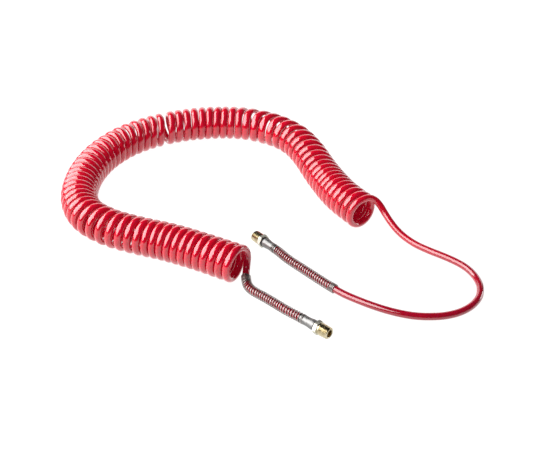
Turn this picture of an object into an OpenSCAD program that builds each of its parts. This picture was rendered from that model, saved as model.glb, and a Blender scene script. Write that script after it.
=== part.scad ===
// Self-storing polyurethane air hose: a coiled tube with a straight tail, a spring guard and a
// swivelling male taper-thread fitting at each end.
// Frame: millimetres, +Z up, the hose lies on the plane z = 0, origin under the middle of its box.

/* [Hose] */
// Outside diameter of the tube
tube_od = 8; // [7.8:0.1:8]
// Outside diameter of the coil
coil_od = 45; // [40:0.5:45]

/* [Swivel fitting] */
// Gauge diameter of the R 1/4 male thread
thread_d = 13.157; // [13:0.001:13.2]
// Length of full thread, from the lead chamfer to the neck
thread_len = 9.8; // [9.4:0.1:10]
// Width of the hexagon across its flats
hex_af = 14; // [13.8:0.1:14]
// Length of the hexagon
hex_len = 4.5; // [4.5:0.1:5]
// Diameter of the air passage through the thread
port_d = 8; // [6:0.5:8]
// Diameter of the cavity that the stem's head turns in
cavity_d = 9; // [8.9:0.1:9.1]
// Radial running clearance of the stem in the swivel body
running_gap = 0.05; // [0.02:0.01:0.1]

/* [Stem] */
// Diameter of the stem's journal
journal_d = 6.4; // [6:0.1:6.5]
// Diameter of the air passage through the stem
stem_bore_d = 3.4; // [3:0.1:3.6]
// Diameter of the stem's barbed tail under the barbs
tail_d = 4.7; // [4.5:0.1:5]
// Diameter over the barbs
barb_d = 5.6; // [5.2:0.1:5.8]
// Number of barbs
barbs = 4; // [3:1:4]

/* [Ferrule and guard] */
// Outside diameter of the ferrule beside the swivel
ferrule_od = 11.4; // [11:0.1:11.6]
// Outside diameter of the ferrule where the guard meets it
ferrule_end_od = 10.2; // [9.8:0.1:11]
// Outside diameter of the spring guard
guard_od = 11.3; // [11:0.1:11.4]
// Length of the spring guard beyond the ferrule's shoulder
guard_len = 101; // [85:1:101]

/* [Hidden] */
$fn = 96;

// Coil: its centreline from the inlet end to the outlet end, and the lengths at those two ends
// where the last turn has already turned away into a tail
coil_route = [
    [-18, -126], [-60, -102], [-100, -82], [-139, -67], [-174, -50], [-202, -25], [-217, 9],
    [-220, 49], [-214, 89], [-200, 125], [-177, 158], [-146, 183], [-107, 201], [-65, 209],
    [-22, 206], [17, 188], [45, 159], [62, 122], [73, 86], [83, 56], [96, 24], [108, 3], [122, -18]
];
coil_sides = 16;
coil_steps = 3;
coil_end_trims = [7.2, 4];

// Fittings: where the thread's tip is, and the bearing from the tip towards the hose
axis_h = hex_af / 2;
inlet_tip = [72.4, -221.9, axis_h];
inlet_bearing = 138;
outlet_tip = [-5.5, -44.3, axis_h];
outlet_bearing = -50;

// Tails: points from the fitting's ferrule to the coil
inlet_route = [
    [28, -183, 7.3], [12, -166, 6.2], [2, -156.3, 5.8], [-6.7, -148.3, 5.7], [-12, -139.5, 5.7],
    [-14, -129, 5.9], [-14.4, -120, 7], [-13.8, -113, 11.5], [-12.6, -110.9, 17], [-11.6, -108.4, 24],
    [-14.8, -111.4, 34], [-22.8, -122.9, 41]
];
outlet_route = [
    [32, -91.5, 7], [50, -111, 6.2], [65, -127.5, 5.8], [78.5, -142, 5.7], [91, -152.5, 4.5],
    [104, -161.5, 4], [118.5, -171, 4], [133, -179, 4], [148.5, -185.5, 4], [163.5, -189.5, 4],
    [179, -190.5, 4], [194.5, -189, 4], [210, -183.5, 4], [224, -173.5, 4], [234.5, -159.5, 4],
    [239, -146, 4], [240, -133, 4], [237, -117.5, 4], [230, -103, 4], [219.5, -91, 4],
    [207, -80.5, 4], [194.5, -71, 4], [181, -59, 4], [169, -47, 6.3], [160, -38, 11],
    [153, -30, 17], [147, -22, 23.5], [141.5, -15.5, 30.5], [135.5, -12.5, 36], [128.5, -14, 39.8],
    [121, -18, 41], [110, -20, 37]
];
tube_sides = 12;
inlet_steps = 2;
outlet_steps = 1;

// Swivel body: stations along the fitting's axis, measured from the thread's tip
lead = 1;
neck_len = 2;
hex_at = lead + thread_len + neck_len;
hex_end = hex_at + hex_len;
cavity_at = hex_end - 13;
groove_at = hex_end - 3.65;
groove_w = 1.2;
groove_d = cavity_d + 1.34;

// Stem: stations and sections
head_r = cavity_d / 2 - running_gap;
head_at = cavity_at + 0.3;
head_end = groove_at - 1.15;
o_ring_r = 0.55;
o_ring_w = 1.4;
front_groove_at = head_at + 1.3;
rear_groove_at = front_groove_at + 3;
o_floor_r = head_r - 2 * o_ring_r;
collar_at = hex_end + 2.6;
tail_at = collar_at + 1.4;
barb_len = 3.5;

// Washer, seal and ferrule
washer_t = 1;
seal_at = hex_end + 0.1;
seal_t = 1.2;
seal_od = 12;
ferrule_at = hex_end + 1.4;
shoulder_at = hex_end + 16;
ferrule_len = 20.6;
mouth_at = ferrule_at + ferrule_len;
spigot_r = 4.45;
lip_t = 1.15;
fit_gap = 0.02;
guard_wall_r = 4.66;

// Vector helpers
function unit(v) = v / norm(v);
function along(tip, bearing, u) = tip + u * [cos(bearing), sin(bearing), 0];

// Smooth curve through points, with a given number of steps between neighbours
function padded(p) = concat([2 * p[0] - p[1]], p, [2 * p[len(p) - 1] - p[len(p) - 2]]);
function blend(a, b, c, d, t) =
    (2 * b + (c - a) * t + (2 * a - 5 * b + 4 * c - d) * t * t + (3 * b - a - 3 * c + d) * t * t * t) / 2;
function smooth(p, steps) = let(q = padded(p)) concat(
    [for (i = [0 : len(p) - 2], k = [0 : steps - 1]) blend(q[i], q[i + 1], q[i + 2], q[i + 3], k / steps)],
    [p[len(p) - 1]]);

// Direction of travel at each point, and a side vector carried along without twisting
function heading(p, i) = unit(p[min(i + 1, len(p) - 1)] - p[max(i - 1, 0)]);
function side_next(s, t) = unit(s - (s * t) * t);
function sides(p, i, s) = i == len(p) ? [] :
    let(next = side_next(s, heading(p, i))) concat([next], sides(p, i + 1, next));

// One ring of points about p, in the plane across t
function ring(p, t, s, r, n, phase) = let(u = cross(s, t))
    [for (k = [0 : n - 1]) p + r * (cos(360 * (k + phase) / n) * s + sin(360 * (k + phase) / n) * u)];
function rings(p, r, n, phase) = let(s = sides(p, 0, cross(heading(p, 0), [0, 0, 1])))
    [for (i = [0 : len(p) - 1]) each ring(p[i], heading(p, i), s[i], r, n, phase)];
function skin(count, n, at) = [for (i = [0 : count - 2], k = [0 : n - 1]) let(m = (k + 1) % n)
    each [[at + i * n + k, at + i * n + m, at + (i + 1) * n + k],
          [at + i * n + m, at + (i + 1) * n + m, at + (i + 1) * n + k]]];
function turned(faces) = [for (f = faces) [f[0], f[2], f[1]]];

// A solid bar swept along p
module sweep(p, r, n, phase = 0) {
    last = (len(p) - 1) * n;
    first_cap = [for (k = [1 : n - 2]) [0, k + 1, k]];
    last_cap = [for (k = [1 : n - 2]) [last, last + k, last + k + 1]];
    polyhedron(points = rings(p, r, n, phase), faces = concat(skin(len(p), n, 0), first_cap, last_cap));
}

// A pipe swept along p
module sweep_pipe(p, r, r_in, n) {
    inner = len(p) * n;
    last = (len(p) - 1) * n;
    ends = [for (k = [0 : n - 1]) let(m = (k + 1) % n) each [
        [m, k, inner + k], [m, inner + k, inner + m],
        [last + k, last + m, inner + last + k], [last + m, inner + last + m, inner + last + k]]];
    polyhedron(
        points = concat(rings(p, r, n, 0), rings(p, r_in, n, 0)),
        faces = concat(skin(len(p), n, 0), turned(skin(len(p), n, inner)), ends));
}

// Routes: the coil with both ends trimmed, and each tail from inside its ferrule
function lifted(p) = [for (q = p) [q[0], q[1], coil_od / 2]];
function trimmed(p, d) = let(n = len(p) - 1) [for (i = [0 : n])
    i == 0 ? p[0] + d[0] * unit(p[1] - p[0]) : i == n ? p[n] + d[1] * unit(p[n - 1] - p[n]) : p[i]];
coil_line = smooth(trimmed(lifted(coil_route), coil_end_trims), coil_steps);
function tail_line(tip, bearing, route, steps) = smooth(concat(
    [for (u = [tail_at + 0.1, shoulder_at, mouth_at, mouth_at + 3]) along(tip, bearing, u)], route), steps);
inlet_line = tail_line(inlet_tip, inlet_bearing, inlet_route, inlet_steps);
outlet_line = tail_line(outlet_tip, outlet_bearing, outlet_route, outlet_steps);

// Guard: the part of a route from the ferrule's shoulder to the guard's free end
function lengths(p, i = 0, d = 0) = i == len(p) ? [] :
    let(e = i == 0 ? 0 : d + norm(p[i] - p[i - 1])) concat([e], lengths(p, i + 1, e));
function point_at(p, l, d) = let(i = max([for (k = [0 : len(p) - 2]) if (l[k] <= d) k]))
    p[i] + (d - l[i]) / (l[i + 1] - l[i]) * (p[i + 1] - p[i]);
guard_rings = 20;
guard_start = shoulder_at + 0.1 - tail_at;
function guard_line(route) = let(fine = smooth(route, 4), l = lengths(fine))
    [for (i = [0 : guard_rings]) point_at(fine, l, guard_start + i * guard_len / guard_rings)];

// Puts a fitting, drawn from its tip up +Z, on its axis
module place(tip, bearing) {
    translate(tip) rotate([0, 0, bearing]) rotate([0, 90, 0]) children();
}

// Round part from [radius, station] points, and a plain ring
module turned_part(profile) {
    rotate_extrude() polygon(profile);
}

module washer_part(at, t, r_in, r_out) {
    translate([0, 0, at]) difference() {
        cylinder(h = t, r = r_out);
        translate([0, 0, -1]) cylinder(h = t + 2, r = r_in);
    }
}

// Swivel body: male taper thread, neck and chamfered hexagon, bored for air and for the stem
module swivel_body() {
    difference() {
        union() {
            turned_part([
                [0, 0], [thread_d / 2 - lead, 0], [thread_d / 2, lead], [thread_d / 2, lead + thread_len],
                [thread_d / 2 - 0.7, lead + thread_len + 0.7], [thread_d / 2 - 0.7, hex_at + 1],
                [0, hex_at + 1]]);
            intersection() {
                translate([0, 0, hex_at]) rotate([0, 0, 30])
                    cylinder(h = hex_len, r = hex_af / 2 / cos(30), $fn = 6);
                turned_part([
                    [0, hex_at], [hex_af / 2 + 0.1, hex_at], [hex_af / 2 + 1.6, hex_at + 0.9],
                    [hex_af / 2 + 1.6, hex_end - 0.9], [hex_af / 2 + 0.1, hex_end], [0, hex_end]]);
            }
        }
        translate([0, 0, -1]) cylinder(h = cavity_at + 2, d = port_d);
        translate([0, 0, cavity_at]) cylinder(h = hex_end, d = cavity_d);
        translate([0, 0, groove_at]) cylinder(h = groove_w, d = groove_d);
    }
}

// Round-wire retaining ring, open at one side
module retaining_ring() {
    translate([0, 0, groove_at + groove_w / 2]) rotate([0, 0, 15]) rotate_extrude(angle = 330)
        translate([groove_d / 2 - 0.57, 0]) circle(r = o_ring_r, $fn = 32);
}

// Stem: grooved head, journal, collar and barbed tail, bored through
module stem() {
    difference() {
        union() {
            turned_part(concat(
                [[0, head_at], [head_r - 0.3, head_at], [head_r, head_at + 0.3]],
                [for (g = [front_groove_at, rear_groove_at]) each [
                    [head_r, g], [o_floor_r, g], [o_floor_r, g + o_ring_w], [head_r, g + o_ring_w]]],
                [[head_r, head_end], [journal_d / 2, head_end], [journal_d / 2, collar_at],
                 [tube_od / 2 - 0.05, collar_at], [tube_od / 2 - 0.05, tail_at], [tail_d / 2, tail_at],
                 [tail_d / 2, tail_at + barbs * barb_len + 1], [0, tail_at + barbs * barb_len + 1]]));
            for (i = [0 : barbs - 1]) translate([0, 0, tail_at + 0.8 + i * barb_len])
                cylinder(h = barb_len - 0.3, r1 = barb_d / 2, r2 = tail_d / 2 - 0.1);
        }
        translate([0, 0, head_at - 1]) cylinder(h = 60, d = stem_bore_d);
    }
}

module o_ring(at) {
    translate([0, 0, at + o_ring_w / 2]) rotate_extrude()
        translate([o_floor_r + o_ring_r + fit_gap, 0]) circle(r = o_ring_r, $fn = 32);
}

// Ferrule: lipped sleeve that clamps the tube on the barbs, with a spigot for the guard
module ferrule() {
    turned_part([
        [journal_d / 2 + fit_gap, ferrule_at], [ferrule_od / 2 - 0.4, ferrule_at],
        [ferrule_od / 2, ferrule_at + 0.4], [ferrule_od / 2, ferrule_at + 3.6],
        [ferrule_end_od / 2, ferrule_at + 8.6], [ferrule_end_od / 2, shoulder_at - 0.3],
        [ferrule_end_od / 2 - 0.3, shoulder_at], [spigot_r, shoulder_at], [spigot_r, mouth_at - 0.2],
        [spigot_r - 0.2, mouth_at], [tube_od / 2, mouth_at], [tube_od / 2, ferrule_at + lip_t],
        [journal_d / 2 + fit_gap, ferrule_at + lip_t]]);
}

module hose_coil() {
    color("crimson") sweep(coil_line, coil_od / 2 / cos(180 / coil_sides), coil_sides, 0.5);
}
module inlet_tail() { color("firebrick") sweep(inlet_line, tube_od / 2, tube_sides); }
module outlet_tail() { color("firebrick") sweep(outlet_line, tube_od / 2, tube_sides); }

module inlet_swivel_body() { color("khaki") place(inlet_tip, inlet_bearing) swivel_body(); }
module inlet_retaining_ring() { color("dimgray") place(inlet_tip, inlet_bearing) retaining_ring(); }
module inlet_thrust_washer() {
    color("ivory") place(inlet_tip, inlet_bearing)
        washer_part(head_end + 0.1, washer_t, journal_d / 2 + running_gap, head_r - 0.03);
}
module inlet_stem() { color("darkgoldenrod") place(inlet_tip, inlet_bearing) stem(); }
module inlet_front_o_ring() { color("black") place(inlet_tip, inlet_bearing) o_ring(front_groove_at); }
module inlet_rear_o_ring() { color("black") place(inlet_tip, inlet_bearing) o_ring(rear_groove_at); }
module inlet_dust_seal() {
    color("black") place(inlet_tip, inlet_bearing)
        washer_part(seal_at, seal_t, journal_d / 2 + fit_gap, seal_od / 2);
}
module inlet_ferrule() { color("lightgray") place(inlet_tip, inlet_bearing) ferrule(); }
module inlet_guard() {
    color("gray") sweep_pipe(guard_line(inlet_line), guard_od / 2, guard_wall_r, tube_sides);
}

module outlet_swivel_body() { color("khaki") place(outlet_tip, outlet_bearing) swivel_body(); }
module outlet_retaining_ring() { color("dimgray") place(outlet_tip, outlet_bearing) retaining_ring(); }
module outlet_thrust_washer() {
    color("ivory") place(outlet_tip, outlet_bearing)
        washer_part(head_end + 0.1, washer_t, journal_d / 2 + running_gap, head_r - 0.03);
}
module outlet_stem() { color("darkgoldenrod") place(outlet_tip, outlet_bearing) stem(); }
module outlet_front_o_ring() { color("black") place(outlet_tip, outlet_bearing) o_ring(front_groove_at); }
module outlet_rear_o_ring() { color("black") place(outlet_tip, outlet_bearing) o_ring(rear_groove_at); }
module outlet_dust_seal() {
    color("black") place(outlet_tip, outlet_bearing)
        washer_part(seal_at, seal_t, journal_d / 2 + fit_gap, seal_od / 2);
}
module outlet_ferrule() { color("lightgray") place(outlet_tip, outlet_bearing) ferrule(); }
module outlet_guard() {
    color("gray") sweep_pipe(guard_line(outlet_line), guard_od / 2, guard_wall_r, tube_sides);
}

hose_coil();
inlet_tail();
outlet_tail();
inlet_swivel_body();
inlet_retaining_ring();
inlet_thrust_washer();
inlet_stem();
inlet_front_o_ring();
inlet_rear_o_ring();
inlet_dust_seal();
inlet_ferrule();
inlet_guard();
outlet_swivel_body();
outlet_retaining_ring();
outlet_thrust_washer();
outlet_stem();
outlet_front_o_ring();
outlet_rear_o_ring();
outlet_dust_seal();
outlet_ferrule();
outlet_guard();
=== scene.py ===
"""Looks of the coiled air hose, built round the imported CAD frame. Metres, in the row frame."""
import math

import bpy
import numpy as np
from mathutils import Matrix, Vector


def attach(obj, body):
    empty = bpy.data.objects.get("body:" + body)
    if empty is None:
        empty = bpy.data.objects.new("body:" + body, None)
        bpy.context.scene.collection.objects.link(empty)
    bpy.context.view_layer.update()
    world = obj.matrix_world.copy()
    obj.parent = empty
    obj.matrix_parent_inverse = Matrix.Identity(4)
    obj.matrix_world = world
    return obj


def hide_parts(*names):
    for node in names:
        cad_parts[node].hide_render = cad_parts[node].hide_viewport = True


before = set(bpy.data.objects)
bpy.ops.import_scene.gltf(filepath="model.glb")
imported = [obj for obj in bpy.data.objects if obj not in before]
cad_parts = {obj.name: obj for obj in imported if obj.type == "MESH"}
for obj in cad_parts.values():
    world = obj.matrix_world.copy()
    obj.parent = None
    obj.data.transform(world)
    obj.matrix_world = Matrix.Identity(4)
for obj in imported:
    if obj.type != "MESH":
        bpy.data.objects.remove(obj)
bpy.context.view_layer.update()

MM = 0.001

# ---------------------------------------------------------------- camera
cam_data = bpy.data.cameras.new("camera")
cam_data.lens = 64.36
cam_data.sensor_width = 36
cam_data.clip_start, cam_data.clip_end = 0.05, 60
cam = bpy.data.objects.new("camera", cam_data)
bpy.context.scene.collection.objects.link(cam)
cam.location = (0.012, -0.976, 0.6382)
cam.rotation_euler = (math.radians(56.5), 0, 0)
bpy.context.scene.camera = cam

# ---------------------------------------------------------------- the hose's route, in millimetres
TUBE_R = 4.1
WALL = 1.5
COIL_OUTER_R = 22.5
COIL_ROUTE = [
    (-18, -126), (-60, -102), (-100, -82), (-139, -67), (-174, -50), (-202, -25), (-217, 9),
    (-220, 49), (-214, 89), (-200, 125), (-177, 158), (-146, 183), (-107, 201), (-65, 209),
    (-22, 206), (17, 188), (45, 159), (62, 122), (73, 86), (83, 56), (96, 24), (108, 3), (122, -18)]
# Each fitting's tip and the bearing in degrees of its axis, from the tip towards the hose
INLET = dict(tip=(72.4, -221.9, 7), bearing=138)
OUTLET = dict(tip=(-5.5, -44.3, 7), bearing=-50)
# Distances behind the tip at which the hose is held straight in its fitting
HELD_AT = (21.4, 33.3, 39.3, 42.3)
INLET_ROUTE = [
    (28, -183, 7.3), (12, -166, 6.2), (2, -156.3, 5.8), (-6.7, -148.3, 5.7), (-12, -139.5, 5.7),
    (-14, -129, 5.9), (-14.4, -120, 7), (-13.8, -113, 11.5)]
OUTLET_ROUTE = [
    (32, -91.5, 7), (50, -111, 6.2), (65, -127.5, 5.8), (78.5, -142, 5.7), (91, -152.5, 4.5),
    (104, -161.5, 4), (118.5, -171, 4), (133, -179, 4), (148.5, -185.5, 4), (163.5, -189.5, 4),
    (179, -190.5, 4), (194.5, -189, 4), (210, -183.5, 4), (224, -173.5, 4), (234.5, -159.5, 4),
    (239, -146, 4), (240, -133, 4), (237, -117.5, 4), (230, -103, 4), (219.5, -91, 4),
    (207, -80.5, 4), (194.5, -71, 4), (181, -59, 4), (169, -47, 6.3), (160, -38, 11),
    (153, -30, 17), (147, -22, 23.5), (141.5, -15.5, 30.5), (135.5, -12.5, 36), (128.5, -14, 39.8)]
# Pitch of the turns against the distance along the coil's axis, from the inlet end
PITCH = [
    (0, 9.4), (16, 10.1), (30, 10.3), (55, 9.7), (75, 9.6), (118, 9.6), (132, 10.9), (150, 11.4),
    (168, 12), (185, 13.5), (200, 11.8), (216, 9.4), (236, 10.2), (255, 10.8), (272, 9.6), (290, 10.4),
    (312, 11.6), (345, 12.2), (400, 12.8), (425, 12.2), (448, 11.7), (480, 11.7), (500, 10.6),
    (525, 10.7), (550, 10.9), (570, 12.6), (590, 14), (615, 14.3), (650, 15.2), (666, 16.2),
    (684, 13.6), (708, 14.6), (735, 13.4), (760, 11.6), (774, 9.6), (790, 8.7), (820, 9),
    (838, 10.6), (856, 11)]
# Distance along the axis, then how far whole turns are shifted, how far the near and the far side of
# each turn are shifted as well, and the most that coiling widens the tube each side of its middle
TURNS = [
    (0, 0, 0, 0, 4.8), (250, 0, 0, 0, 4.8), (330, 1.7, -2.6, 0, 4.8), (400, 2.9, -4.4, 0, 4.7),
    (425, 3.5, -4.6, 0, 4.7), (455, 3.5, -5.2, 0, 4.6), (463, 1.6, -4.3, 0, 4.9),
    (474, 0.9, -3.5, 0, 5), (486, 0.3, -2.2, 0, 5), (500, 0, 0, 0, 4.8), (545, 0, 0, 0, 5),
    (557, -1, 1, -3, 5.1), (570, -2.5, 2.5, 2, 5.2), (584, -4, 4, 0.5, 5.2), (605, -4, 4, 7, 5.2),
    (620, -4, 4, 7, 5.2), (640, -2.9, 2.9, 3, 5.2), (690, 0, 0, 0, 5), (740, 0, 0, 0, 4.8),
    (860, 0, 0, 0, 4.8)]
# One turn is pulled open: where along the axis, by how much, from what part of the turn on, and for
# what part of a turn
OPEN_AT, OPEN_BY, OPEN_FROM, OPEN_FOR = 449, 6.3, 0.28, 0.4
# Where the helix starts along the axis, and the angles of its two ends round the axis in degrees
START = 4.4
PHASE_IN, PHASE_OUT = 180.0, 95.0
# Turns wound looser than this pitch lean unevenly, by this much for each millimetre of pitch
TIGHT_PITCH, LEAN = 9.0, 0.14
# Squares of a flattened tube's two half widths add up to this, which keeps its girth nearly the same
GIRTH = 2 * 4.3 ** 2
# Gap between the coil and the floor
FLOOR_GAP = 0.05
# Points in a turn, the step in turns by which the pitch is added up, and points between two of a route
PER_TURN = 32
FINE_STEP = 1 / 240
AXIS_STEPS, TAIL_STEPS = 24, 10
# Distance between the rings of the finished hose, and points round it
RING_SPACING = 3.55
HOSE_SIDES = 18


def smooth(points, steps):
    """Uniform Catmull-Rom curve through the points."""
    p = np.asarray(points, float)
    q = np.vstack([2 * p[0] - p[1], p, 2 * p[-1] - p[-2]])
    t = (np.arange(steps) / steps)[:, None]
    out = []
    for i in range(len(p) - 1):
        a, b, c, d = q[i:i + 4]
        out.append(0.5 * (2 * b + (c - a) * t + (2 * a - 5 * b + 4 * c - d) * t ** 2
                          + (3 * b - a - 3 * c + d) * t ** 3))
    return np.vstack(out + [p[-1:]])


def lengths(p):
    """Distance along a line at each of its points."""
    return np.r_[0, np.cumsum(np.linalg.norm(np.diff(p, axis=0), axis=1))]


def along(tip, bearing, u):
    """A point on a fitting's axis, at a distance u behind its tip."""
    a = math.radians(bearing)
    return (tip[0] + u * math.cos(a), tip[1] + u * math.sin(a), tip[2])


def wave(x, seed):
    """Slow, repeatable unevenness from -1 to 1."""
    return (np.sin(x * 0.83 + seed) + 0.7 * np.sin(x * 0.37 + 2.1 * seed)
            + 0.5 * np.sin(x * 1.71 + 3.3 * seed)) / 2.2


def coil():
    """The coil, left-handed and resting on the floor, its axis bent into a C. Each row is a point of the
    centreline, the axis direction there and the section's two half widths."""
    axis = smooth(COIL_ROUTE, AXIS_STEPS)
    run = lengths(axis)
    total = run[-1]
    pitch_at, pitch = np.array(PITCH, float).T

    def advance(scale):
        """Distance along the axis after each fine step, and the turns it takes to reach the end."""
        s, t, out, opened = START, 0.0, [START], None
        while s < total:
            v = float(np.interp(s, pitch_at, pitch)) * scale
            if opened is None and s >= OPEN_AT and abs((PHASE_IN / 360 - t) % 1 - OPEN_FROM) < FINE_STEP:
                opened = t
            if opened is not None:
                x = (t - opened) / OPEN_FOR
                if x < 1:
                    v += OPEN_BY / OPEN_FOR * (1 - math.cos(2 * math.pi * x))
            s += v * FINE_STEP
            t += FINE_STEP
            out.append(s)
        return np.array(out), t

    # The pitch is scaled a little, so that the helix ends at the angle where the long tail leaves it
    lead = (PHASE_IN - PHASE_OUT) / 360
    want = round(advance(1.0)[1] - lead) + lead
    low, high = 0.9, 1.1
    for _ in range(30):
        mid = (low + high) / 2
        if advance(mid)[1] > want:
            low = mid
        else:
            high = mid
    table, _ = advance(high)
    count = int(want * PER_TURN)
    turn = want * np.arange(count + 1) / count
    s = np.minimum(np.interp(turn, np.arange(len(table)) * FINE_STEP, table), total)
    centre = np.array([np.interp(s, run, axis[:, k]) for k in range(2)]).T
    ahead = np.array([np.interp(np.minimum(s + 1, total), run, axis[:, k]) for k in range(2)]).T
    behind = np.array([np.interp(np.maximum(s - 1, 0), run, axis[:, k]) for k in range(2)]).T
    t = ahead - behind
    t /= np.linalg.norm(t, axis=1)[:, None]
    n = np.stack([-t[:, 1], t[:, 0]], 1)
    phase = np.radians(PHASE_IN - 360 * turn)

    # How far each point leans along the axis: unevenly where turns are loose, and as TURNS says
    loose = np.clip(np.interp(s, pitch_at, pitch) - TIGHT_PITCH, 0, 4)
    ends = np.clip(np.minimum(turn, want - turn) / 2, 0, 1)
    lean = LEAN * loose * ends * (wave(turn, 0.4) * np.cos(phase) + wave(turn, 5.2) * np.sin(phase))
    shift_at, whole, near, far, widest = np.array(TURNS, float).T
    lean += np.interp(s, shift_at, whole) + np.interp(s, shift_at, near) * ((1 - np.cos(phase)) / 2) ** 4
    lean += np.interp(s, shift_at, far) * ((1 + np.cos(phase)) / 2) ** 2

    def helix(r):
        """Centreline of the turns at a distance r from the axis."""
        xy = centre + n * (r * np.cos(phase))[:, None] + t * lean[:, None]
        return np.column_stack([xy, COIL_OUTER_R + FLOOR_GAP + r * np.sin(phase)])

    # The tube is as wide as the room between neighbouring turns lets it be, and round at both ends
    p = helix(COIL_OUTER_R - 3.2)
    apart = np.linalg.norm(p[PER_TURN:] - p[:-PER_TURN], axis=1)
    beyond = np.full(PER_TURN, 99)
    room = np.minimum(np.r_[apart, beyond], np.r_[beyond, apart])
    blend = np.clip(np.minimum(turn, want - turn) / 0.4, 0, 1)
    wide = TUBE_R + (np.clip(0.49 * room, 4.0, np.interp(s, shift_at, widest)) - TUBE_R) * blend
    thick = np.minimum(np.sqrt(GIRTH - wide ** 2), TUBE_R)
    p = helix(COIL_OUTER_R - thick + 0.1 * wave(turn, 1.3) * ends)
    return np.column_stack([p, t, np.zeros(len(t)), wide, thick])


def resample(p, spacing):
    """Rows at even distances along the line that their first three columns give."""
    d = lengths(p[:, :3])
    n = int(round(d[-1] / spacing))
    at = np.linspace(0, d[-1], n + 1)
    return np.array([np.interp(at, d, column) for column in p.T]).T


def hose_line():
    """The whole hose from fitting to fitting, in rows like the coil's."""
    helix = coil()
    into = [along(**INLET, u=u) for u in HELD_AT] + INLET_ROUTE
    out_of = OUTLET_ROUTE[::-1] + [along(**OUTLET, u=u) for u in HELD_AT[::-1]]
    a = smooth(into + [tuple(helix[0, :3]), tuple(helix[2, :3])], TAIL_STEPS)[:-TAIL_STEPS - 1]
    b = smooth([tuple(helix[-3, :3]), tuple(helix[-1, :3])] + out_of, TAIL_STEPS)[TAIL_STEPS + 1:]
    a = np.column_stack([a, np.repeat(helix[:1, 3:], len(a), 0)])
    b = np.column_stack([b, np.repeat(helix[-1:, 3:], len(b), 0)])
    return resample(np.vstack([a, helix, b]), RING_SPACING)


def frames(p):
    """Tangent and two side vectors at each point, carried along without twisting."""
    t = np.gradient(p, axis=0)
    t /= np.linalg.norm(t, axis=1)[:, None]
    u = np.cross(t[0], (0, 0, 1.0))
    a = np.zeros_like(p)
    for i in range(len(p)):
        u = u - (u @ t[i]) * t[i]
        u /= np.linalg.norm(u)
        a[i] = u
    return t, a, np.cross(t, a)


# ---------------------------------------------------------------- meshes
# Edges sharper than this many degrees stay sharp under smooth shading
SHARP = 32


def grid(name, p, uv_row, close_rows=False, caps=False, slots=None):
    """A mesh of quads from rows of rings. p is rows x columns x 3 in metres, uv_row is each row's U and
    slots is each row's material."""
    rows, cols = p.shape[:2]
    last = rows if close_rows else rows - 1
    r, k = np.meshgrid(np.arange(last), np.arange(cols), indexing="ij")
    r2, k2 = (r + 1) % rows, (k + 1) % cols
    quads = np.stack([r * cols + k, r * cols + k2, r2 * cols + k2, r2 * cols + k], -1).reshape(-1, 4)
    faces = quads.tolist()
    uv_row = np.asarray(uv_row, float)
    nxt = np.r_[uv_row[1:], uv_row[-1] + (uv_row[-1] - uv_row[-2])]
    u0, u1 = uv_row[r], nxt[r]
    v0, v1 = k / cols, (k + 1) / cols
    uv = np.stack([np.stack([u0, v0], -1), np.stack([u0, v1], -1), np.stack([u1, v1], -1),
                   np.stack([u1, v0], -1)], -2).reshape(-1, 2)
    if caps:
        faces += [list(range(cols))[::-1], list(range((rows - 1) * cols, rows * cols))]
        uv = np.vstack([uv, np.zeros((2 * cols, 2))])
    me = bpy.data.meshes.new(name)
    me.from_pydata(p.reshape(-1, 3).tolist(), [], faces)
    layer = me.uv_layers.new(name="UVMap")
    layer.data.foreach_set("uv", uv.astype(np.float32).ravel())
    if slots is not None:
        which = np.repeat(np.asarray(slots)[:last], cols).tolist() + [0] * (2 if caps else 0)
        me.polygons.foreach_set("material_index", which)
    me.polygons.foreach_set("use_smooth", [True] * len(me.polygons))
    me.validate()
    me.update()
    signed = sum(me.vertices[f[0]].co.dot(me.vertices[f[1]].co.cross(me.vertices[f[2]].co))
                 + me.vertices[f[0]].co.dot(me.vertices[f[2]].co.cross(me.vertices[f[3]].co))
                 for f in quads.tolist())
    if signed < 0:
        me.flip_normals()
    me.set_sharp_from_angle(angle=math.radians(SHARP))
    o = bpy.data.objects.new(name, me)
    bpy.context.scene.collection.objects.link(o)
    return o


def rings(a, b, sides):
    """Unit circles spanned by the side vectors a and b of each point of a line."""
    turn = np.arange(sides) * 2 * math.pi / sides
    return np.cos(turn)[None, :, None] * a[:, None, :] + np.sin(turn)[None, :, None] * b[:, None, :]


def bar(name, line, radius, sides):
    """A round bar along a line in millimetres."""
    ring = rings(*frames(line)[1:], sides)
    return grid(name, (line[:, None, :] + radius * ring) * MM, lengths(line) * MM, caps=True)


def pipe(name, line, side, wide, thick, wall, sides):
    """A pipe along a line, wide along side and thick across it, in millimetres."""
    t, a, b = frames(line)
    ring = rings(a, b, sides)
    w = side - np.sum(side * t, axis=1)[:, None] * t
    w /= np.linalg.norm(w, axis=1)[:, None]
    v = np.cross(t, w)
    on_w = np.einsum("ijk,ik->ij", ring, w)[..., None] * w[:, None, :]
    on_v = np.einsum("ijk,ik->ij", ring, v)[..., None] * v[:, None, :]

    def wall_at(depth):
        return (line[:, None, :] + on_w * (wide - depth)[:, None, None]
                + on_v * (thick - depth)[:, None, None])

    run = lengths(line) * MM
    rows = np.vstack([wall_at(0), wall_at(wall)[::-1]])
    return grid(name, rows * MM, np.r_[run, run[::-1]], close_rows=True)


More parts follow.
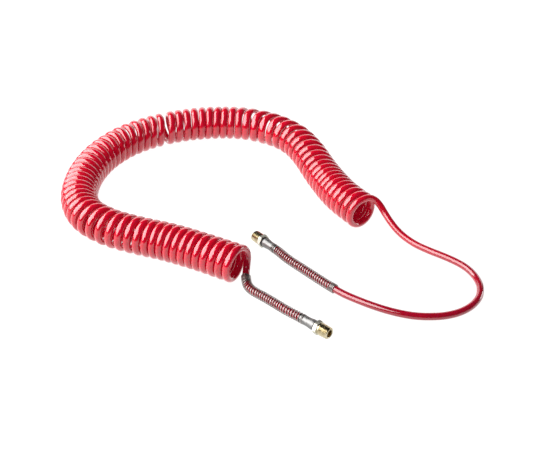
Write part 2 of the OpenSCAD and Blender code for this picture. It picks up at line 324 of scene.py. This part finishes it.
def revolve(name, rows, fitting, angles, slots=None):
    """A turned piece on a fitting's axis. Its rows are (station, radius), with one radius or one for
    each angle."""
    u = np.array([q[0] for q in rows], float)
    r = np.array([np.broadcast_to(q[1], angles.shape) for q in rows], float)
    a = math.radians(fitting["bearing"])
    x = np.broadcast_to(u[:, None], r.shape)
    y, z = r * np.sin(angles), -r * np.cos(angles)
    tip = fitting["tip"]
    p = np.stack([tip[0] + x * math.cos(a) - y * math.sin(a),
                  tip[1] + x * math.sin(a) + y * math.cos(a), tip[2] + z], -1)
    run = np.r_[0, np.cumsum(np.hypot(np.diff(u), np.diff(r.mean(1))))]
    return grid(name, p * MM, run * MM, close_rows=True, slots=slots)


def fillet(a, corner, c, radius, n=5):
    """Points that round a corner of a profile."""
    a, k, c = (np.array(q, float) for q in (a, corner, c))
    d1, d2 = (a - k) / np.linalg.norm(a - k), (c - k) / np.linalg.norm(c - k)
    p, q = k + d1 * radius, k + d2 * radius
    t = np.linspace(0, 1, n)[:, None]
    return [tuple(x) for x in (1 - t) ** 2 * p + 2 * t * (1 - t) * k + t ** 2 * q]


def rounded(profile):
    """A closed (station, radius, rounding) profile with its corners rounded."""
    n, out = len(profile), []
    for i in range(n):
        out += fillet(profile[i - 1][:2], profile[i][:2], profile[(i + 1) % n][:2], profile[i][2])
    return out


# ---------------------------------------------------------------- materials
def material(name):
    """A new material, its node tree and its Principled BSDF."""
    m = bpy.data.materials.new(name)
    m.use_nodes = True
    tree = m.node_tree
    return m, tree, tree.nodes["Principled BSDF"]


def node(tree, kind, inputs=None, **props):
    """A node whose inputs are set to values or linked from sockets."""
    n = tree.nodes.new(kind)
    for k, v in props.items():
        setattr(n, k, v)
    for k, v in (inputs or {}).items():
        if isinstance(v, bpy.types.NodeSocket):
            tree.links.new(v, n.inputs[k])
        else:
            n.inputs[k].default_value = v
    return n


def noise(tree, coords, scale, detail, stretch=None):
    """A noise's factor, on coordinates that may be stretched first."""
    if stretch:
        coords = node(tree, "ShaderNodeMapping", {"Vector": coords, "Scale": stretch}).outputs[0]
    return node(tree, "ShaderNodeTexNoise", {
        "Vector": coords, "Scale": scale, "Detail": detail}).outputs[0]


def ramp(tree, fac, low, high, a=0.3, b=0.7):
    """Turns a factor from a to b into a value or a colour from low to high."""
    if isinstance(low, tuple):
        n = node(tree, "ShaderNodeValToRGB", {"Fac": fac})
        e = n.color_ramp.elements
        e[0].position, e[0].color = a, (*low, 1)
        e[1].position, e[1].color = b, (*high, 1)
        return n.outputs[0]
    return node(tree, "ShaderNodeMapRange", {
        "Value": fac, "From Min": a, "From Max": b, "To Min": low, "To Max": high}).outputs[0]


def mixed(tree, fac, low, high):
    """A colour between two, of which the second may be a plain one."""
    mix = node(tree, "ShaderNodeMix", data_type="RGBA")
    tree.links.new(fac, mix.inputs[0])
    tree.links.new(low, mix.inputs[6])
    if isinstance(high, tuple):
        mix.inputs[7].default_value = (*high, 1)
    else:
        tree.links.new(high, mix.inputs[7])
    return mix.outputs[2]


def bumps(tree, bsdf, layers):
    """Stacks bump layers of (height, strength, distance)."""
    last = None
    for height, strength, distance in layers:
        b = node(tree, "ShaderNodeBump", {"Height": height, "Strength": strength, "Distance": distance})
        if last is not None:
            tree.links.new(last, b.inputs["Normal"])
        last = b.outputs[0]
    tree.links.new(last, bsdf.inputs["Normal"])


# Metres along the hose over which the colour changes to and from the single strands' painted shade, near
# the short tail's end and the long tail's start
SHORT_TAIL_ENDS = (0.12, 0.18)
LONG_TAIL_STARTS = (8.94, 9.06)


def polyurethane():
    """Glossy, slightly translucent red tube with fine lengthwise die lines, soft flow marks, a faint
    painted glow and painted shade on its single strands.
    """
    m, t, b = material("polyurethane_red")
    tex = node(t, "ShaderNodeTexCoord")
    place, uv = tex.outputs["Object"], tex.outputs["UV"]
    cloud = noise(t, place, 38, 3)
    lines = noise(t, uv, 6, 4, stretch=(1.2, 9, 1))
    peel = noise(t, place, 900, 2)
    flow = noise(t, uv, 30, 3, stretch=(3, 0.4, 1))
    # Painted shade: the single strands are painted a deeper red than the coil, in place of the light that
    # the coil's turns throw on each other
    run = node(t, "ShaderNodeSeparateXYZ", {"Vector": uv}).outputs[0]
    single_strand_painted_shade = node(t, "ShaderNodeMath", {
        0: ramp(t, run, 1.0, 0.0, *SHORT_TAIL_ENDS),
        1: ramp(t, run, 0.0, 1.0, *LONG_TAIL_STARTS)}, operation="ADD").outputs[0]
    colour = mixed(t, single_strand_painted_shade, ramp(t, cloud, (0.42, 0.0008, 0.012), (0.50, 0.0011, 0.016)),
                   ramp(t, cloud, (0.22, 0.0007, 0.010), (0.27, 0.0010, 0.014)))
    t.links.new(colour, b.inputs["Base Color"])
    t.links.new(ramp(t, lines, 0.08, 0.15), b.inputs["Roughness"])
    b.inputs["IOR"].default_value = 1.55
    b.inputs["Subsurface Weight"].default_value = 0.4
    b.inputs["Subsurface Radius"].default_value = (1.0, 0.05, 0.08)
    b.inputs["Subsurface Scale"].default_value = 0.004
    # Painted light: a faint red glow lifts the shaded insides of the coil, standing in for light that
    # passes through the tube's walls and between its turns.
    b.inputs["Emission Color"].default_value = (0.10, 0.0002, 0.005, 1)
    b.inputs["Emission Strength"].default_value = 1.0
    b.inputs["Coat Weight"].default_value = 0.9
    b.inputs["Coat Roughness"].default_value = 0.07
    bumps(t, b, [(lines, 0.05, 0.0004), (flow, 0.06, 0.0010), (peel, 0.02, 0.0002)])
    return m


def metal(name, dark, light, rough, axis_lines=True, lines=0.06, stain=None):
    """Plated or bright metal with turning or drawing lines, small pits and worn patches."""
    m, t, b = material(name)
    tex = node(t, "ShaderNodeTexCoord")
    place, uv = tex.outputs["Object"], tex.outputs["UV"]
    cloud = noise(t, place, 240, 4)
    fine = noise(t, uv if axis_lines else place, 900 if axis_lines else 700, 3,
                 stretch=(6, 0.02, 1) if axis_lines else None)
    pits = noise(t, place, 2600, 2)
    colour = ramp(t, cloud, dark, light, 0.32, 0.68)
    if stain:
        colour = mixed(t, ramp(t, noise(t, place, 90, 4), 0.0, 1.0, 0.52, 0.70), colour, stain)
    t.links.new(colour, b.inputs["Base Color"])
    b.inputs["Metallic"].default_value = 1.0
    t.links.new(ramp(t, cloud, rough * 0.75, rough * 1.25), b.inputs["Roughness"])
    bumps(t, b, [(fine, lines, 0.0001), (pits, 0.04, 0.00005)])
    return m


def rubber(name, colour, rough):
    """Moulded rubber or plastic with a fine matt grain and a few paler rubbed places."""
    m, t, b = material(name)
    place = node(t, "ShaderNodeTexCoord").outputs["Object"]
    cloud = noise(t, place, 200, 4)
    light = tuple(min(1, c * 1.5 + 0.01) for c in colour)
    t.links.new(ramp(t, cloud, colour, light), b.inputs["Base Color"])
    t.links.new(ramp(t, cloud, rough * 0.8, rough * 1.15), b.inputs["Roughness"])
    bumps(t, b, [(noise(t, place, 1500, 3), 0.12, 0.0001)])
    return m


RED = polyurethane()
PLATE = metal("swivel_hex_plating", (0.50, 0.48, 0.40), (0.60, 0.58, 0.51), 0.42,
              stain=(0.46, 0.45, 0.30))
GOLD = metal("swivel_thread_plating", (0.50, 0.43, 0.28), (0.72, 0.64, 0.45), 0.24,
             stain=(0.38, 0.31, 0.18))
STEEL = metal("ferrule_steel", (0.19, 0.185, 0.18), (0.27, 0.265, 0.26), 0.44)
WIRE = metal("guard_wire_steel", (0.30, 0.27, 0.26), (0.44, 0.41, 0.395), 0.36, lines=0.08)
BRASS = metal("stem_brass", (0.68, 0.48, 0.20), (0.80, 0.60, 0.30), 0.25, axis_lines=False)
SPRING = metal("ring_spring_steel", (0.22, 0.21, 0.21), (0.34, 0.33, 0.33), 0.32, axis_lines=False)
NITRILE = rubber("nitrile_black", (0.012, 0.012, 0.013), 0.55)
ACETAL = rubber("acetal_ivory", (0.62, 0.58, 0.48), 0.4)

# ---------------------------------------------------------------- the hose
shape = hose_line()
line = shape[:, :3]
hose = pipe("hose_tube", line, shape[:, 3:6], shape[:, 6], shape[:, 7], WALL, HOSE_SIDES)
hose.data.materials.append(RED)
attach(hose, "hose")
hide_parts("hose_coil", "inlet_tail", "outlet_tail")


# ---------------------------------------------------------------- spring guards, in millimetres
# Where a guard starts along the hose, its length, its wire's radius and its own outer radius
GUARD_START, GUARD_LENGTH = 12.0, 101.0
WIRE_R, GUARD_OUTER_R = 0.56, 5.5
# Pitch at the ferrule, in the open part and at the close-wound end
FERRULE_PITCH, OPEN_PITCH, CLOSE_PITCH = 1.2, 3.25, 1.35
# Points of the centreline, how many of them each side are averaged, and rings of the hose covered
GUARD_POINTS, GUARD_SOFTEN, GUARD_RINGS = 1200, 12, 60
# Points of the wire in one turn, and round the wire
WIRE_STEPS, WIRE_SIDES = 26, 9


def guard(name, route, close):
    """Helical wire over the tube. It is wound close at the ferrule and again over its last stretch,
    which is close millimetres long."""
    run = lengths(route)
    fine = np.linspace(GUARD_START, GUARD_START + GUARD_LENGTH, GUARD_POINTS)
    centre = np.array([np.interp(fine, run, route[:, k]) for k in range(3)]).T
    n = GUARD_SOFTEN
    kernel = np.ones(2 * n + 1) / (2 * n + 1)
    padded = np.vstack([np.repeat(centre[:1], n, 0), centre, np.repeat(centre[-1:], n, 0)])
    soft = np.array([np.convolve(padded[:, k], kernel, "valid") for k in range(3)]).T
    soft[:n], soft[-n:] = centre[:n], centre[-n:]
    a, b = frames(soft)[1:]
    d = fine - GUARD_START
    pitch = np.interp(
        d, [0, 1.4, 3.0, GUARD_LENGTH - close - 3, GUARD_LENGTH - close, GUARD_LENGTH],
        [FERRULE_PITCH, FERRULE_PITCH, OPEN_PITCH, OPEN_PITCH, CLOSE_PITCH, CLOSE_PITCH])
    turn = np.r_[0, np.cumsum(np.diff(d) * 0.5 * (1 / pitch[1:] + 1 / pitch[:-1]))]
    even = np.linspace(0, turn[-1], int(turn[-1] * WIRE_STEPS))
    at = np.interp(even, turn, d)
    ph = even * 2 * math.pi

    def pick(v):
        return np.array([np.interp(at, d, v[:, k]) for k in range(3)]).T

    helix = pick(soft) + (GUARD_OUTER_R - WIRE_R) * (
        np.cos(ph)[:, None] * pick(a) + np.sin(ph)[:, None] * pick(b))
    o = bar(name, helix, WIRE_R, WIRE_SIDES)
    o.data.materials.append(WIRE)
    return o


for side, route, close in (("inlet", line, 12), ("outlet", line[::-1], 5)):
    g = guard(side + "_guard_wire", route[:GUARD_RINGS], close)
    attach(g, "hose")
    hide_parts(side + "_guard")

# ---------------------------------------------------------------- swivel fittings, in millimetres
# Angles round a fitting, closest together at the hexagon's corners
CORNER = np.array([-12, -5, -2.5, -1.2, 0, 1.2, 2.5, 5, 12, 18, 24, 30, 36, 42])
ANGLES = np.radians(np.sort(np.concatenate([30 + 60 * i + CORNER for i in range(6)]) % 360))
ROUND = np.linspace(0, 2 * math.pi, 96, endpoint=False)
# The hexagon's radius at each angle; the power sets how crisp its corners are
HEX_R = 7.0
HEX_POWER = 90
HEX_SIDES = [np.maximum(np.cos(ANGLES - math.radians(60 * i)), 1e-6) for i in range(6)]
HEX = HEX_R / np.sum([side ** HEX_POWER for side in HEX_SIDES], 0) ** (1 / HEX_POWER)
# Where the hexagon starts and ends behind the tip, and how long the chamfer on its corners is
HEX_FRONT, HEX_BACK = 12.8, 17.3
CHAMFER = 0.9
THREAD_PITCH = 1.337
THREAD_STEPS = 14
THREAD_DEPTH = 0.80
# Radius of the crests at the tip, and of the neck behind the thread
CREST_R, NECK_R = 6.39, 5.88
THREAD_END = 11.5


def thread(u):
    """Radius of the tapered thread at a station, for every angle."""
    x = (u / THREAD_PITCH - ANGLES / (2 * math.pi)) % 1
    v = np.abs(2 * x - 1)
    form = 0.4 * v + 0.6 * (0.5 - 0.5 * np.cos(math.pi * v))
    crest = CREST_R + u / 32
    r = crest - THREAD_DEPTH * (1 - form)
    # A lead chamfer at the tip, and a run-out into the neck
    r = np.minimum(r, 5.45 + u)
    return np.minimum(r, NECK_R + np.maximum(THREAD_END - u, 0) * 0.9)


def swivel_rows():
    """The swivel body's rows, and the material of each: 0 for the hexagon, 1 for the thread."""
    rows = [(0.0, 4.35), (0.0, 5.35), (0.06, 5.45)]
    rows += [(u, thread(u)) for u in np.arange(0.1, THREAD_END, THREAD_PITCH / THREAD_STEPS)]
    rows += [(THREAD_END, NECK_R), (12.4, NECK_R)]
    slots = [1] * len(rows)
    rows += [(12.7, 5.95), (HEX_FRONT, 6.2), (HEX_FRONT, 6.85)]
    for u in (12.8, 12.83, 12.9, 13.0, 13.1, 13.2, 13.3, 13.4, 13.6, 15.05, 16.5, 16.7, 16.8, 16.9,
              17.0, 17.1, 17.2, 17.27, 17.3):
        cone = 7.1 + 1.5 * min(min(u - HEX_FRONT, HEX_BACK - u) / CHAMFER, 1.0) ** 0.9
        rows.append((u, np.minimum(HEX, cone)))
    # Back through the bore, past the retaining ring's groove
    rows += [(HEX_BACK, 6.85), (HEX_BACK, 4.8), (17.1, 4.5), (14.85, 4.5), (14.85, 5.17), (13.65, 5.17)]
    slots += [0] * (len(rows) - len(slots))
    rows += [(13.65, 4.5), (4.3, 4.5), (4.3, 4.0), (0.35, 4.0)]
    slots += [1] * 4
    return rows, slots


def ferrule_profile():
    """A thick collar that tapers to a sleeve, and a thin skirt under the guard's first turns."""
    return rounded([
        (18.7, 3.22, 0.1), (18.7, 5.7, 0.35), (22.3, 5.7, 0.5), (27.3, 5.1, 1.2), (33.3, 5.1, 0.28),
        (33.3, 4.45, 0.05), (39.3, 4.45, 0.2), (39.3, 4.0, 0.1), (19.85, 4.0, 0.1),
        (19.85, 3.22, 0.1)])


def seal_profile():
    """A ring with a shallow groove round its middle."""
    return rounded([
        (17.4, 3.22, 0.15), (17.4, 6.0, 0.3), (17.85, 6.0, 0.1), (18.0, 5.85, 0.1), (18.15, 6.0, 0.1),
        (18.6, 6.0, 0.3), (18.6, 3.22, 0.15)])


swivels, ferrules, seals = {}, {}, {}
for side, fitting in (("inlet", INLET), ("outlet", OUTLET)):
    rows, slots = swivel_rows()
    s = revolve(side + "_swivel_turned", rows, fitting, ANGLES, slots)
    s.data.materials.append(PLATE)
    s.data.materials.append(GOLD)
    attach(s, side + "_swivel")
    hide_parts(side + "_swivel_body")
    f = revolve(side + "_ferrule_turned", ferrule_profile(), fitting, ROUND)
    f.data.materials.append(STEEL)
    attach(f, "hose")
    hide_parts(side + "_ferrule")
    d = revolve(side + "_dust_seal_moulded", seal_profile(), fitting, ROUND)
    d.data.materials.append(NITRILE)
    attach(d, "hose")
    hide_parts(side + "_dust_seal")
    swivels[side], ferrules[side], seals[side] = s, f, d

# ---------------------------------------------------------------- CAD nodes that are kept
KEPT = {"stem": (BRASS, "stem"), "front_o_ring": (NITRILE, "seal"), "rear_o_ring": (NITRILE, "seal"),
        "retaining_ring": (SPRING, "ring"), "thrust_washer": (ACETAL, "washer")}
for side in ("inlet", "outlet"):
    for part, (finish, slot) in KEPT.items():
        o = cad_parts[side + "_" + part]
        o.data.materials.clear()
        o.data.materials.append(finish)

# ---------------------------------------------------------------- stage, light and finish
bpy.ops.mesh.primitive_plane_add(size=30, location=(0, 0, 0))
floor = bpy.context.object
floor.name = "floor"
white, _, b = material("floor_white")
b.inputs["Roughness"].default_value = 0.9
b.inputs["Specular IOR Level"].default_value = 0.1
b.inputs["Base Color"].default_value = (0.12, 0.12, 0.12, 1)
b.inputs["Emission Color"].default_value = (1, 1, 1, 1)
b.inputs["Emission Strength"].default_value = 1.0
floor.data.materials.append(white)

world = bpy.data.worlds.new("studio")
bpy.context.scene.world = world
world.use_nodes = True
bg = world.node_tree.nodes["Background"]
bg.inputs["Color"].default_value = (0.95, 0.97, 1.0, 1)
bg.inputs["Strength"].default_value = 0.04


def area(name, where, target, size, power):
    """A rectangular light of a power in watts, turned towards a point."""
    data = bpy.data.lights.new(name, "AREA")
    data.shape = "RECTANGLE"
    data.size, data.size_y = size
    data.energy = power
    o = bpy.data.objects.new(name, data)
    bpy.context.scene.collection.objects.link(o)
    o.location = where
    o.rotation_euler = (Vector(target) - Vector(where)).to_track_quat("-Z", "Y").to_euler()


# A large softbox to the left, a pale sweep behind and a low card to the right
area("key", (-1.75, -0.1, 1.25), (-0.6, 0, 0), (3.5, 2.4), 155)
area("sweep", (0.1, 2.2, 0.7), (0.1, 0, 0.7), (4.0, 1.3), 21)
area("card", (1.6, 0.62, 0.24), (0, 0.62, 0.24), (0.65, 0.42), 3.5)

bpy.context.scene.view_settings.view_transform = "Standard"
